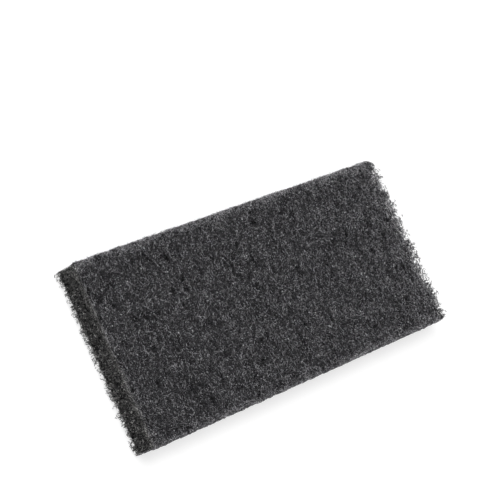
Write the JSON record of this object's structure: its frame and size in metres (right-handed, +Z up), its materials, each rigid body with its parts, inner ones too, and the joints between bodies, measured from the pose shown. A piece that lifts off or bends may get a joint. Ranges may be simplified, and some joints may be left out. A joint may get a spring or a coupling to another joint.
{
  "type": "abrasive hand pad",
  "caption": "Flat rectangular scouring pad of dark grey matted web with frayed ends, used in the hand or on a pad holder.",
  "frame": {"origin": "middle of the face that the pad lies on", "axes": "+X along the pad's length, +Y across its width, +Z up through its thickness"},
  "size_m": [0.25, 0.115, 0.02],
  "materials": {
    "web": "matt dark grey non-woven web of crimped fibres with a few bright glints"
  },
  "bodies": {
    "root": {"hand_pad": "web"}
  },
  "joints": []
}
